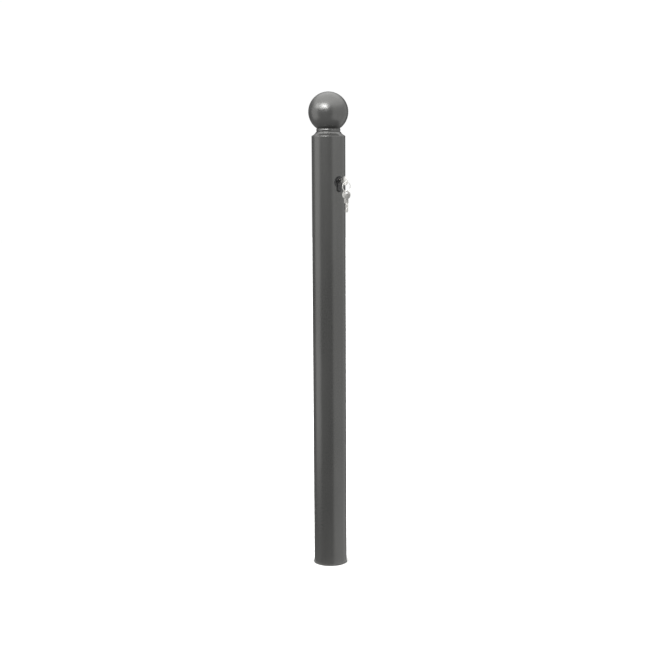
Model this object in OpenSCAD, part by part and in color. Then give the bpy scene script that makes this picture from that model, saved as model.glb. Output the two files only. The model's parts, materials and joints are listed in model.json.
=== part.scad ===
// Retractable bollard: a ball-topped steel post that goes down into a buried ground socket.
// A key lock near the top works a lift rod, which draws two latch bolts in at the bottom of the post.
// Millimetres. The origin is on the post's axis at paving level, +Z is up, and the lock faces -Y.

/* [Post] */
// Outside diameter of the post tube
tube_d = 76.1; // [72:0.1:78]
// Wall thickness of the post tube
tube_wall = 3; // [2.5:0.1:4]
// Height of the tube's top edge above the paving
tube_top = 995; // [950:5:1100]
// Radius of the rounded edge at the top of the tube
shoulder_round = 1.4; // [0.5:0.1:2]

/* [Ball head] */
// Diameter of the ball
ball_d = 90; // [84:1:96]
// Wall thickness of the ball
ball_wall = 3; // [2:0.5:4]
// Height of the ball's centre above the tube's top edge
ball_lift = 53; // [51:0.5:56]
// Widest diameter of the neck under the ball
neck_d = 54.4; // [52:0.2:57]
// Height of the cap's hollow curve between the tube and the neck
cove_h = 9; // [8:0.5:10]

/* [Lock] */
// Height of the lock's axis above the paving
lock_z = 896; // [860:1:920]
// Height that the cylinder's face stands proud of the tube
lock_proud = 2; // [1:0.5:3]
// Distance of the crank pin from the lock's axis
crank_r = 10; // [9:0.5:10]
// Turn of the key from unlocked to locked, in degrees
key_turn = 90; // [80:1:90]

/* [Keys] */
// Thickness of a key
key_t = 2.2; // [2:0.1:2.4]
// Diameter of a key's round bow
bow_d = 20; // [18:0.5:21]
// Length of a key's neck, between the bow and the shoulder
key_neck = 8; // [6:0.5:9]
// Length of a key's blade, from the shoulder to the tip
key_blade = 21.5; // [20:0.5:23]
// Mean diameter of the key ring
ring_d = 22; // [21:0.5:24]
// Wire diameter of the key ring
ring_wire = 1.6; // [1.4:0.1:1.8]

/* [Latch] */
// Diameter of a latch bolt
bolt_d = 12; // [10:0.5:12]
// Travel of a latch bolt
bolt_throw = 8; // [6:0.5:8]
// Depth of the latch bolts below the paving
latch_depth = 101.7; // [100:0.1:104]
// Diameter of the lift rod
rod_d = 10; // [8:0.5:11]

/* [Ground socket] */
// Outside diameter of the socket tube
socket_d = 101.6; // [101:0.1:104]
// Wall thickness of the socket tube
socket_wall = 3.6; // [3:0.1:4]
// Distance the post goes down, from raised to lowered
stroke = 1025; // [900:5:1025]
// Diameter of the collar that shows at paving level
collar_d = 90; // [89:0.5:94]
// Thickness of the paving that is laid over the head's flange
paving_t = 25; // [22:1:30]

/* [Hidden] */
$fn = 64;
play = 0.15; // radial gap of an insert in its seat
tube_r = tube_d / 2;
tube_ri = tube_r - tube_wall;
insert_r = tube_ri - play;

// ball head
ball_r = ball_d / 2;
ball_z = tube_top + ball_lift;
neck_r = neck_d / 2;
neck_bulge = 1.2; // the neck is barrel shaped: narrower at its two ends
neck_seat_r = neck_r - neck_bulge;
neck_top = ball_z - sqrt(ball_r * ball_r - neck_seat_r * neck_seat_r);
cove_top = tube_top + cove_h;
cove_rise = 15; // height at which the hollow curve would stand upright
cove_reach = tube_r - neck_seat_r - 0.6;
cove_r = (cove_reach * cove_reach + cove_rise * cove_rise) / (2 * cove_reach);
neck_half = (neck_top - cove_top) / 2;
neck_arc_r = (neck_half * neck_half + neck_bulge * neck_bulge) / (2 * neck_bulge);
boss_r = sqrt(pow(ball_r - ball_wall, 2) - pow(ball_z - neck_top, 2)) - 0.1; // fits the ball's inside
boss_t = 9;
cap_spigot = 12;
stud_r = 8;
stud_nut_t = 13;
stud_washer_t = 2.5;

// lock: the European profile is a round barrel over a narrow leg
barrel_r = 8.5;
leg_w = 10;
leg_drop = 24.5;
face_y = -tube_r - lock_proud;
barrel_l = 30;
cam_l = 10;
barrel_back = face_y + barrel_l;
body_back = barrel_back + cam_l;
carrier_back = body_back + 0.2;
carrier_low = lock_z - 34;
carrier_high = lock_z + 20;
plug_r = 6;
plug_tail_r = 4;
cam_r = barrel_r - 0.2;
disc_r = crank_r + 4;
disc_t = 3;
disc_front = carrier_back + 0.4;
disc_back = disc_front + disc_t;
pin_r = 2.5;
aperture_r = 12;
aperture_sink = 3; // centre of the aperture's round part below the lock's axis
aperture_leg_w = 13;
aperture_drop = 25.6;
keyway_w = key_t + 0.5;
keyway_h = 8.8;
screw_drop = 16.5; // fixing screw below the lock's axis
screw_y = barrel_back + cam_l / 2;
side_screw_angle = -12; // from +X towards the lock's side
carrier_screw_levels = [-28, 12]; // from the lock's axis

// keys
blade_h = 8;
key_collar_y = face_y - 1.2;
bow_r = bow_d / 2;
hole_r = 3;
hole_to_centre = 5;
bow_y = key_collar_y - key_neck - bow_r;
ring_reach = hole_to_centre - bow_y;
wire_r = ring_wire / 2;
ring_r = ring_d / 2;
hang = hole_r - wire_r - 0.3; // wire's centre from the centre of the hole it hangs in
ring_top_z = lock_z - hang;
ring_low_z = ring_top_z - ring_d;
spare_hole_z = ring_low_z - hang;
spare_bow_z = spare_hole_z - hole_to_centre;
spare_twist = 25; // degrees that the spare key hangs turned on the ring

// lift rod and latch
rod_r = rod_d / 2;
rod_travel = 2 * crank_r * sin(key_turn / 2);
pin_up_x = crank_r * cos(key_turn / 2);
pin_up_z = lock_z + crank_r * sin(key_turn / 2);
yoke_front = disc_back + 0.5;
yoke_t = 4;
yoke_foot_low = carrier_low - 14;
yoke_foot_high = carrier_low - 4;
bolt_r = bolt_d / 2;
bolt_z = -latch_depth;
bolt_tip = tube_r - 0.55;
bolt_inner = 8;
bolt_pin_x = 12;
plate_t = 6;
plate_half = 26.5;
plate_edge = 8;
hub_low = bolt_z + 30;
hub_high = bolt_z + 44;
housing_low = bolt_z - 28;
housing_high = bolt_z + 14;
guide_heights = [250, 600];
guide_t = 8;
spring_l = 60;
spring_turns = 8;
spring_r = 8;
spring_wire_r = 1.1;
spring_low = guide_heights[1] + guide_t;
spring_top = spring_low + spring_l;
collar_t = 6;

// bottom end of the post
keeper_top = bolt_z - bolt_r - 0.3;
keeper_t = 12;
keeper_r = tube_r + 0.95;
guide_ring_top = keeper_top - keeper_t - 0.5;
tube_bottom = guide_ring_top - 39.5;
end_plate_t = 6;
end_plate_r = 41.5;
end_plug_t = 15;
end_screw_r = 4.9;
end_head_t = 6.4;

// ground socket
socket_r = socket_d / 2;
socket_ri = socket_r - socket_wall;
collar_r = collar_d / 2;
head_flange_r = 75;
head_flange_t = 10;
gasket_t = 2;
socket_flange_r = 100;
socket_flange_t = 8;
head_low = -paving_t - head_flange_t;
socket_top = head_low - gasket_t;
spigot_low = socket_top - 25;
bush_seat_r = 42;
bush_r = tube_r + 0.1;
bush_low = spigot_low + 3;
seal_seat_r = 42.5;
seal_low = -12;
seal_top = -4;
seal_ring_r = tube_r + 1.35;
head_screw_circle = 64;
anchor_circle = 88;
anchor_hole_r = 5.5;
buffer_t = 25;
buffer_top = tube_bottom - end_plate_t - stroke - 0.5;
socket_low = buffer_top - buffer_t;
base_t = 6;
drain_r = 20;
drain_wall = 2;
drain_l = 60;
buffer_hole_r = 20.5;
rail_w = 8;
rail_r = 42.3;
bar_r = 5;
bar_reach = 110;
bar_drop = 70;
bar_levels = [-350, -900];

steel_paint = [0.27, 0.27, 0.27];
zinc = [0.66, 0.68, 0.7];
nickel = [0.78, 0.77, 0.74];
dark_nickel = [0.16, 0.16, 0.16];
black = [0.05, 0.05, 0.055];
nylon = [0.85, 0.84, 0.8];

// ---------- helpers ----------

// A solid ring between two radii and two heights
module ring(r_out, r_in, low, high) {
    difference() {
        translate([0, 0, low]) cylinder(r = r_out, h = high - low);
        translate([0, 0, low - 1]) cylinder(r = r_in, h = high - low + 2);
    }
}

// A solid disc between two heights
module disc(r, low, high) {
    translate([0, 0, low]) cylinder(r = r, h = high - low);
}

// A round bar along Y
module bar_y(r, y0, y1) {
    translate([0, y0, 0]) rotate([-90, 0, 0]) cylinder(r = r, h = y1 - y0);
}

// A round bar along X
module bar_x(r, x0, x1) {
    translate([x0, 0, 0]) rotate([0, 90, 0]) cylinder(r = r, h = x1 - x0);
}

// A drawing in X and Z, made solid from y0 to y1
module along_y(y0, y1) {
    translate([0, y1, 0]) rotate([90, 0, 0]) linear_extrude(y1 - y0) children();
}

// Copies round the axis
module around(count, start = 0) {
    for (i = [0 : count - 1]) rotate([0, 0, start + i * 360 / count]) children();
}

// Round barrel over a leg with a round end, centred on the barrel
module profile_outline(r, w, drop) {
    circle(r = r);
    translate([-w / 2, -drop + w / 2]) square([w, drop - w / 2]);
    translate([0, -drop + w / 2]) circle(r = w / 2);
}

// Opening for the lock: the round part is wider than the barrel and sits lower
module aperture_outline(grow) {
    translate([0, -aperture_sink]) circle(r = aperture_r + grow);
    w = aperture_leg_w + 2 * grow;
    low = aperture_drop + grow;
    translate([-w / 2, -low + w / 2]) square([w, low - w / 2 - aperture_sink]);
    translate([0, -low + w / 2]) circle(r = w / 2);
}

// Bolt with a hexagon head above a shank, pointing down from z = 0
module hex_bolt(shank_r, shank_l, across, head_t) {
    cylinder(r = across / sqrt(3), h = head_t, $fn = 6);
    translate([0, 0, -shank_l]) cylinder(r = shank_r, h = shank_l);
}

// Flush screw along +X: a flat head with a driver slot in the tube's wall, and a shank inwards
module wall_screw(shank_r, head_r, shank_end) {
    difference() {
        bar_x(head_r, tube_ri + 0.2, tube_r - 0.5);
        translate([tube_r - 1.6, -head_r, -0.5]) cube([3, 2 * head_r, 1]);
    }
    bar_x(shank_r, shank_end, tube_ri + 0.2);
}

// ---------- ground socket ----------

module socket_tube() {
    color(zinc) ring(socket_r, socket_ri, socket_low, socket_top);
}

module socket_flange() {
    low = socket_top - socket_flange_t;
    color(zinc) difference() {
        ring(socket_flange_r, socket_r, low, socket_top);
        around(4, 45) translate([head_screw_circle, 0, low - 1]) cylinder(r = 4, h = socket_flange_t + 2);
        around(4) translate([anchor_circle, 0, low - 1])
            cylinder(r = anchor_hole_r, h = socket_flange_t + 2);
    }
}

// Bent reinforcing bar: out from the socket, then down
module anchor_bar(z) {
    translate([0, 0, z]) {
        bar_x(bar_r, socket_r - 3, bar_reach);
        translate([bar_reach, 0, 0]) sphere(r = bar_r);
        translate([bar_reach, 0, -bar_drop]) cylinder(r = bar_r, h = bar_drop);
    }
}

module anchor_bars() {
    color(zinc) difference() {
        for (z = bar_levels) around(4, 45) anchor_bar(z);
        disc(socket_r, bar_levels[1] - 20, bar_levels[0] + 20);
    }
}

module base_plate() {
    color(zinc) ring(socket_r, drain_r - drain_wall, socket_low - base_t, socket_low);
}

module drain_spigot() {
    color(zinc) ring(drain_r, drain_r - drain_wall, socket_low - base_t - drain_l, socket_low - base_t);
}

module drain_strainer() {
    color(zinc) difference() {
        disc(drain_r, socket_low, socket_low + 2);
        translate([0, 0, socket_low - 1]) cylinder(r = 2.5, h = 4);
        around(6) translate([11, 0, socket_low - 1]) cylinder(r = 2.5, h = 4);
    }
}

module rubber_buffer() {
    color(black) ring(rail_r - 0.5, buffer_hole_r, socket_low, buffer_top);
}

// Flat bar that keeps the post from turning
module guide_rail() {
    color(zinc) intersection() {
        ring(socket_ri, rail_r, socket_low, keeper_top - keeper_t - 1);
        translate([-rail_w / 2, 0, socket_low]) cube([rail_w, socket_ri, -socket_low]);
    }
}

// The thrown latch bolts rest on this ring
module keeper_ring() {
    color(zinc) ring(socket_ri, keeper_r, keeper_top - keeper_t, keeper_top);
}

module head_gasket() {
    color(black) difference() {
        ring(head_flange_r, socket_ri, socket_top, head_low);
        around(4, 45) translate([head_screw_circle, 0, socket_top - 1]) cylinder(r = 4.6, h = 4);
    }
}

module guide_head() {
    color(zinc) difference() {
        union() {
            disc(collar_r, -paving_t, 0);
            disc(head_flange_r, head_low, -paving_t);
            disc(socket_ri - 0.2, spigot_low, head_low);
        }
        disc(keeper_r, spigot_low - 1, 1);
        disc(bush_seat_r, bush_low, 1);
        disc(seal_seat_r, seal_low, 1);
        around(4, 45) translate([head_screw_circle, 0, head_low - 1])
            cylinder(r = 4.5, h = head_flange_t + 2);
    }
}

module head_washers() {
    color(zinc) around(4, 45) translate([head_screw_circle, 0, 0]) ring(8, 4.2, -paving_t, -paving_t + 1.6);
}

module head_screws() {
    color(zinc) around(4, 45) translate([head_screw_circle, 0, -paving_t + 1.6])
        hex_bolt(3.9, 21, 13, 5.3);
}

module upper_bush() {
    color(nylon) ring(bush_seat_r, bush_r, bush_low, seal_low);
}

module wiper_seal() {
    color(black) difference() {
        ring(seal_seat_r, tube_r + 0.1, seal_low, seal_top);
        // the lip is thin: it is cut away behind
        ring(tube_r + 3, tube_r + 1.3, seal_low + 3, seal_top + 1);
    }
}

// Threaded ring with four spanner notches
module seal_ring() {
    color(zinc) difference() {
        ring(seal_seat_r, seal_ring_r, seal_top, 0);
        around(4, 45) translate([seal_seat_r - 1.4, -2, -2]) cube([3, 4, 3]);
    }
}

// ---------- post ----------

module post_tube() {
    color(steel_paint) difference() {
        ring(tube_r, tube_ri, tube_bottom, tube_top - shoulder_round);
        translate([0, 0, lock_z]) along_y(-tube_r - 2, -tube_ri + 8) aperture_outline(0);
        translate([0, screw_y, lock_z - screw_drop]) bar_x(4.8, 0, tube_r + 2);
        for (dz = carrier_screw_levels) translate([0, 0, lock_z + dz])
            rotate([0, 0, side_screw_angle]) bar_x(4.3, 20, tube_r + 2);
        translate([0, 0, bolt_z]) bar_x(bolt_r + 0.2, -tube_r - 2, tube_r + 2);
        translate([0, 0, bolt_z]) bar_y(5.2, -tube_r - 2, tube_r + 2);
    }
}

// Cap with a rounded shoulder and a hollow curve up to the neck
module tube_cap() {
    step = shoulder_round;
    color(steel_paint) difference() {
        rotate_extrude() {
            translate([stud_r + 0.2, tube_top - step]) square([tube_r - step - stud_r - 0.2, step]);
            intersection() {
                translate([tube_r - step, tube_top - step]) circle(r = step);
                translate([tube_r - step, tube_top - step]) square(step);
            }
            difference() {
                translate([stud_r + 0.2, tube_top]) square([tube_r - step - stud_r - 0.2, cove_h]);
                translate([tube_r - cove_reach + cove_r, tube_top + cove_rise])
                    circle(r = cove_r, $fn = 128);
            }
            translate([stud_r + 0.2, tube_top - step - cap_spigot])
                square([insert_r - stud_r - 0.2, cap_spigot]);
        }
        // hollowed from below to a wall of 4 mm round the stud's boss
        ring(insert_r - 4, stud_r + 8, tube_top - cap_spigot - step - 1, tube_top - 3);
    }
}

module neck_ring() {
    color(steel_paint) rotate_extrude() intersection() {
        translate([neck_r - neck_arc_r, cove_top + neck_half]) circle(r = neck_arc_r, $fn = 128);
        translate([stud_r + 0.2, cove_top]) square([neck_r, neck_top - cove_top]);
    }
}

module ball_boss() {
    color(steel_paint) ring(boss_r, stud_r + 0.05, neck_top, neck_top + boss_t);
}

module ball_shell() {
    difference() {
        translate([0, 0, ball_z]) sphere(r = ball_r, $fn = 128);
        translate([0, 0, ball_z]) sphere(r = ball_r - ball_wall, $fn = 128);
    }
}

module ball_lower() {
    color(steel_paint) intersection() {
        ball_shell();
        disc(ball_r + 1, neck_top, ball_z);
    }
}

module ball_upper() {
    color(steel_paint) intersection() {
        ball_shell();
        disc(ball_r + 1, ball_z, ball_z + ball_r + 1);
    }
}

module ball_stud() {
    low = tube_top - shoulder_round - cap_spigot - stud_washer_t - stud_nut_t - 6;
    color(zinc) disc(stud_r, low, neck_top + boss_t + 2);
}

module stud_nut() {
    washer_top = tube_top - shoulder_round - cap_spigot;
    color(zinc) {
        ring(14, stud_r + 0.1, washer_top - stud_washer_t, washer_top);
        difference() {
            translate([0, 0, washer_top - stud_washer_t - stud_nut_t])
                cylinder(r = 24 / sqrt(3), h = stud_nut_t, $fn = 6);
            disc(stud_r + 0.1, washer_top - 40, washer_top + 1);
        }
    }
}

// ---------- lock ----------

module lock_carrier() {
    color(zinc) difference() {
        intersection() {
            disc(insert_r, carrier_low, carrier_high);
            translate([-tube_r, -tube_r, carrier_low])
                cube([tube_d, tube_r + carrier_back, carrier_high - carrier_low]);
        }
        translate([0, 0, lock_z]) along_y(-tube_r, carrier_back + 1)
            profile_outline(barrel_r + 0.25, leg_w + 0.3, leg_drop + 0.2);
        translate([0, screw_y, lock_z - screw_drop]) bar_x(2.8, 0, tube_r);
        for (dz = carrier_screw_levels) translate([0, 0, lock_z + dz])
            rotate([0, 0, side_screw_angle]) bar_x(2.5, 22, tube_r);
    }
}

module carrier_screws() {
    color(zinc) for (dz = carrier_screw_levels) translate([0, 0, lock_z + dz])
        rotate([0, 0, side_screw_angle]) wall_screw(2.4, 4.1, 23);
}

// Half cylinder of the European profile: the barrel stops at the cam, the leg runs on under it
module cylinder_body() {
    color(dark_nickel) difference() {
        translate([0, 0, lock_z]) union() {
            along_y(face_y, barrel_back) profile_outline(barrel_r, leg_w, leg_drop);
            along_y(barrel_back, body_back) difference() {
                profile_outline(barrel_r, leg_w, leg_drop);
                circle(r = cam_r + 0.5);
            }
        }
        translate([0, 0, lock_z]) bar_y(plug_r + 0.05, face_y - 1, barrel_back + 1);
        translate([0, screw_y, lock_z - screw_drop]) bar_x(2.5, -tube_r, tube_r);
    }
}

module cylinder_screw() {
    color(zinc) translate([0, screw_y, lock_z - screw_drop]) wall_screw(2.45, 4.6, -4);
}

// Black bezel that fills the aperture round the cylinder
module escutcheon() {
    color(black) difference() {
        union() {
            intersection() {
                ring(tube_r, insert_r + 0.1, lock_z - 40, lock_z + 40);
                translate([0, 0, lock_z]) along_y(-tube_r - 2, 0) aperture_outline(-0.1);
            }
            intersection() {
                ring(tube_r + 0.8, tube_r, lock_z - 40, lock_z + 40);
                translate([0, 0, lock_z]) along_y(-tube_r - 2, 0) aperture_outline(0.6);
            }
        }
        translate([0, 0, lock_z]) along_y(-tube_r - 3, 1)
            profile_outline(barrel_r + 0.3, leg_w + 0.6, leg_drop + 0.3);
    }
}

module lock_plug() {
    color(dark_nickel) difference() {
        translate([0, 0, lock_z]) union() {
            bar_y(plug_r + 1, face_y - 0.8, face_y - 0.05);
            bar_y(plug_r, face_y - 0.1, barrel_back - 0.2);
            bar_y(plug_tail_r, barrel_back - 0.2, body_back - 1);
        }
        translate([-keyway_w / 2, face_y - 1, lock_z - blade_h / 2 - 0.4])
            cube([keyway_w, key_blade + 1.5, keyway_h]);
    }
}

module cam_crank() {
    color(zinc) difference() {
        translate([0, 0, lock_z]) union() {
            bar_y(cam_r, barrel_back + 0.2, disc_front);
            bar_y(disc_r, disc_front, disc_back);
        }
        translate([0, 0, lock_z]) bar_y(plug_tail_r + 0.02, barrel_back, body_back - 0.8);
        translate([pin_up_x, 0, pin_up_z]) bar_y(pin_r, disc_front - 1, disc_back + 1);
    }
}

module crank_pin() {
    color(zinc) translate([pin_up_x, 0, pin_up_z])
        bar_y(pin_r - 0.02, disc_front, yoke_front + yoke_t + 2);
}

// ---------- keys ----------

// Round bow with its ring hole, drawn with the hole straight above the centre
module bow_outline() {
    difference() {
        circle(r = bow_r);
        translate([0, hole_to_centre]) circle(r = hole_r);
    }
}

// Cut edge of a key: five notches of different depths along the blade
module blade_outline(length) {
    difference() {
        translate([-blade_h / 2, -length]) square([blade_h, length]);
        for (i = [0 : 4]) translate([blade_h / 2, -length + 5 + i * 3.2])
            circle(r = 1.1 + 0.5 * ((i * 2) % 3), $fn = 24);
        translate([blade_h / 2, -length]) rotate(45) square(5, center = true);
        translate([-blade_h / 2, -length]) rotate(45) square(5, center = true);
    }
}

// A key standing in X and Z: the bow's centre at the origin, the blade pointing down
module key_shape() {
    along_y(-key_t / 2, key_t / 2) {
        bow_outline();
        translate([-blade_h / 2 - 1, -bow_r - key_neck]) square([blade_h + 2, bow_r / 2 + key_neck]);
        translate([0, -bow_r - key_neck]) blade_outline(key_blade);
    }
}

module key() {
    color(nickel) translate([0, bow_y, lock_z]) rotate([90, 0, 0]) rotate([0, 0, 90]) key_shape();
}

module spare_key() {
    color(nickel) translate([0, -ring_reach, spare_bow_z]) rotate([0, 0, 90 + spare_twist]) key_shape();
}

// Two coils of sprung wire, closed into one ring
module key_ring() {
    color(nickel) translate([0, -ring_reach, ring_top_z - ring_r]) rotate([90, 0, 0])
        rotate_extrude() translate([ring_r, 0]) circle(r = wire_r, $fn = 24);
}

// ---------- lift rod and latch ----------

module lift_rod() {
    color(zinc) disc(rod_r, hub_low + 2, yoke_foot_high - 2);
}

// Foot under the lock, and a plate behind it with a level slot for the crank pin
module rod_yoke() {
    slot_half = pin_r + 0.45;
    color(zinc) difference() {
        union() {
            translate([-9, -9, yoke_foot_low])
                cube([25, 9 + yoke_front + yoke_t, yoke_foot_high - yoke_foot_low]);
            translate([-9, yoke_front, yoke_foot_low]) cube([25, yoke_t, pin_up_z + 8 - yoke_foot_low]);
        }
        disc(rod_r + 0.02, yoke_foot_low - 1, yoke_foot_high - 2);
        translate([pin_up_x - pin_r - 0.6, yoke_front - 1, pin_up_z - slot_half])
            cube([crank_r - pin_up_x + 2 * pin_r + 1.2, yoke_t + 2, 2 * slot_half]);
    }
}

module spring_collar() {
    color(zinc) ring(11, rod_r + 0.02, spring_top, spring_top + collar_t);
}

// Points of a round section carried along the spring's helix
spring_sides = 8;
spring_steps = 16 * spring_turns;
function spring_angle(i) = 360 * spring_turns * i / spring_steps;
function spring_height(i) = spring_low + spring_wire_r
    + (spring_l - 2 * spring_wire_r) * i / spring_steps;
function spring_point(i, j) = let (a = spring_angle(i), b = 360 * j / spring_sides,
    r = spring_r + spring_wire_r * cos(b))
    [r * cos(a), r * sin(a), spring_height(i) + spring_wire_r * sin(b)];

module rod_spring() {
    n = spring_sides;
    points = [for (i = [0 : spring_steps]) for (j = [0 : n - 1]) spring_point(i, j)];
    walls = [for (i = [0 : spring_steps - 1]) for (j = [0 : n - 1])
        let (k = (j + 1) % n) [i * n + j, (i + 1) * n + j, (i + 1) * n + k, i * n + k]];
    low_end = [for (j = [0 : n - 1]) j];
    high_end = [for (j = [n - 1 : -1 : 0]) spring_steps * n + j];
    color(zinc) polyhedron(points, concat(walls, [low_end, high_end]), convexity = 10);
}

// Sloped slot: as the plate goes down by rod_travel, the pin in it goes out by bolt_throw
module wedge_slot() {
    slope = atan2(rod_travel, bolt_throw);
    length = sqrt(rod_travel * rod_travel + bolt_throw * bolt_throw);
    r = pin_r + 0.2;
    translate([bolt_pin_x, bolt_z]) rotate(slope) {
        circle(r = r);
        translate([0, -r]) square([length, 2 * r]);
        translate([length, 0]) circle(r = r);
    }
}

module wedge_plate() {
    color(zinc) difference() {
        union() {
            along_y(-plate_t / 2, plate_t / 2) difference() {
                union() {
                    translate([-plate_half, bolt_z - plate_edge])
                        square([2 * plate_half, rod_travel + 2 * plate_edge]);
                    translate([-9, bolt_z]) square([18, hub_low + 2 - bolt_z]);
                }
                wedge_slot();
                mirror([1, 0]) wedge_slot();
            }
            disc(9, hub_low, hub_high);
        }
        disc(rod_r + 0.02, hub_low + 2, hub_high + 1);
    }
}

module latch_housing() {
    color(zinc) difference() {
        disc(insert_r, housing_low, housing_high);
        translate([0, 0, bolt_z]) bar_x(bolt_r + 0.1, -tube_r, tube_r);
        translate([-plate_half - 0.5, -plate_t / 2 - 0.3, bolt_z - plate_edge - rod_travel - 1.5])
            cube([2 * plate_half + 1, plate_t + 0.6, 100]);
        translate([0, 0, bolt_z]) for (side = [0, 180]) rotate([0, 0, side])
            bar_y(3, 20, tube_r);
    }
}

module housing_screws() {
    color(zinc) translate([0, 0, bolt_z]) for (side = [90, 270]) rotate([0, 0, side])
        wall_screw(2.9, 5, 21);
}

// Latch bolt, forked to straddle the wedge plate
module latch_bolt() {
    difference() {
        translate([0, 0, bolt_z]) bar_x(bolt_r, bolt_inner, bolt_tip);
        translate([bolt_inner - 1, -plate_t / 2 - 0.2, bolt_z - bolt_r - 1])
            cube([plate_half + 0.5 - bolt_inner + 1, plate_t + 0.4, bolt_d + 2]);
        translate([bolt_pin_x, 0, bolt_z]) bar_y(pin_r, -bolt_d, bolt_d);
    }
}

module latch_pin() {
    translate([bolt_pin_x, 0, bolt_z]) bar_y(pin_r - 0.02, -5, 5);
}

module bolt_right() { color(zinc) latch_bolt(); }
module bolt_left() { color(zinc) rotate([0, 0, 180]) latch_bolt(); }
module bolt_pin_right() { color(zinc) latch_pin(); }
module bolt_pin_left() { color(zinc) rotate([0, 0, 180]) latch_pin(); }

module rod_guides() {
    color(nylon) for (z = guide_heights) difference() {
        disc(insert_r, z, z + guide_t);
        disc(rod_r + 0.1, z - 1, z + guide_t + 1);
        around(4, 45) translate([20, 0, z - 1]) cylinder(r = 8, h = guide_t + 2);
    }
}

// ---------- bottom end of the post ----------

module lower_guide_ring() {
    color(nylon) difference() {
        ring(socket_ri - 0.4, tube_r + 0.05, tube_bottom, guide_ring_top);
        translate([-rail_w / 2 - 0.4, rail_r - 0.4, tube_bottom - 1]) cube([rail_w + 0.8, 20, 60]);
    }
}

module end_plug() {
    color(zinc) ring(insert_r, end_screw_r + 0.05, tube_bottom, tube_bottom + end_plug_t);
}

module end_plate() {
    color(zinc) ring(end_plate_r, end_screw_r + 0.3, tube_bottom - end_plate_t, tube_bottom);
}

module end_screw() {
    color(zinc) translate([0, 0, tube_bottom - end_plate_t]) mirror([0, 0, 1])
        hex_bolt(end_screw_r, end_plate_t + end_plug_t - 2, 17, end_head_t);
}

socket_tube();
socket_flange();
anchor_bars();
base_plate();
drain_spigot();
drain_strainer();
rubber_buffer();
guide_rail();
keeper_ring();
head_gasket();
guide_head();
head_washers();
head_screws();
upper_bush();
wiper_seal();
seal_ring();
post_tube();
tube_cap();
neck_ring();
ball_boss();
ball_lower();
ball_upper();
ball_stud();
stud_nut();
lock_carrier();
carrier_screws();
cylinder_body();
cylinder_screw();
escutcheon();
rod_guides();
latch_housing();
housing_screws();
lower_guide_ring();
end_plug();
end_plate();
end_screw();
lock_plug();
cam_crank();
crank_pin();
key();
key_ring();
spare_key();
lift_rod();
rod_yoke();
spring_collar();
rod_spring();
wedge_plate();
bolt_right();
bolt_pin_right();
bolt_left();
bolt_pin_left();
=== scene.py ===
import json
import math

import bmesh
import bpy
import numpy as np
from mathutils import Matrix, Vector


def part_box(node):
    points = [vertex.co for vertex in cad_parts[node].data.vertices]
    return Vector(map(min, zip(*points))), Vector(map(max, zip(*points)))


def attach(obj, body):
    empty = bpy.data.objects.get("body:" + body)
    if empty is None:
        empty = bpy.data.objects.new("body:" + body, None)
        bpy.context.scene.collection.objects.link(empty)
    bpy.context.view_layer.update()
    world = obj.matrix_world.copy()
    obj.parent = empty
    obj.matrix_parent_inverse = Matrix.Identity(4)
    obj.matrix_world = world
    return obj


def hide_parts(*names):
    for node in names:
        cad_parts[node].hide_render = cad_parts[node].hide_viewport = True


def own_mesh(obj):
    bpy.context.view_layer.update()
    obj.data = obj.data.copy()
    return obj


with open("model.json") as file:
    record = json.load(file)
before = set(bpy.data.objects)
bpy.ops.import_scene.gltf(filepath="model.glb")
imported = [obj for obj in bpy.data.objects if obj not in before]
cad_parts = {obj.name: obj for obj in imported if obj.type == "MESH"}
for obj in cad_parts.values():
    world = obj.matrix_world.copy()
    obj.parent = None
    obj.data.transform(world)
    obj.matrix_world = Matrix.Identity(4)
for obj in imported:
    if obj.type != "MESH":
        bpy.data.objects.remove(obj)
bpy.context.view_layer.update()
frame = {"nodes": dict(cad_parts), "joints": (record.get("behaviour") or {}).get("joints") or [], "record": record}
mm = 0.001
joints = {j["name"]: j for j in frame["joints"]}
print("frame loaded:", len(frame["nodes"]), "nodes")


class Flow:
    # a node's output, wrapped so that an expression on it adds its own Math nodes
    def __init__(self, tree, socket):
        self.tree, self.socket = tree, socket

    def maths(self, operation, *terms):
        return add(self.tree, "ShaderNodeMath", {"operation": operation}, dict(enumerate(terms)))

    def __add__(self, other):
        return self.maths("ADD", self, other)

    def __radd__(self, other):
        return self.maths("ADD", other, self)

    def __sub__(self, other):
        return self.maths("SUBTRACT", self, other)

    def __rsub__(self, other):
        return self.maths("SUBTRACT", other, self)

    def __mul__(self, other):
        return self.maths("MULTIPLY", self, other)

    def __rmul__(self, other):
        return self.maths("MULTIPLY", other, self)

    def __pow__(self, other):
        return self.maths("POWER", self, other)

    def between(self, low, high):
        # 0 at low, 1 at high, smooth in between
        return add(self.tree, "ShaderNodeMapRange", {"interpolation_type": "SMOOTHSTEP"},
                   {"Value": self, "From Min": low, "From Max": high})


def add(tree, kind, settings=None, sockets=None, out=0):
    # one node: its settings first, then a value or a link for each socket, by name or by place
    made = tree.nodes.new(kind)
    for name, value in (settings or {}).items():
        setattr(made, name, value)
    for name, value in (sockets or {}).items():
        if isinstance(value, Flow):
            tree.links.new(value.socket, made.inputs[name])
        else:
            made.inputs[name].default_value = value
    return Flow(tree, made.outputs[out])


def mix(factor, first, second):
    # colours: the first where the factor is 0, the second where it is 1; they are sockets 6 and 7
    first, second = (c if isinstance(c, Flow) else (*c, 1) for c in (first, second))
    return add(factor.tree, "ShaderNodeMix", {"data_type": "RGBA"},
               {0: factor, 6: first, 7: second}, out=2)


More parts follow.
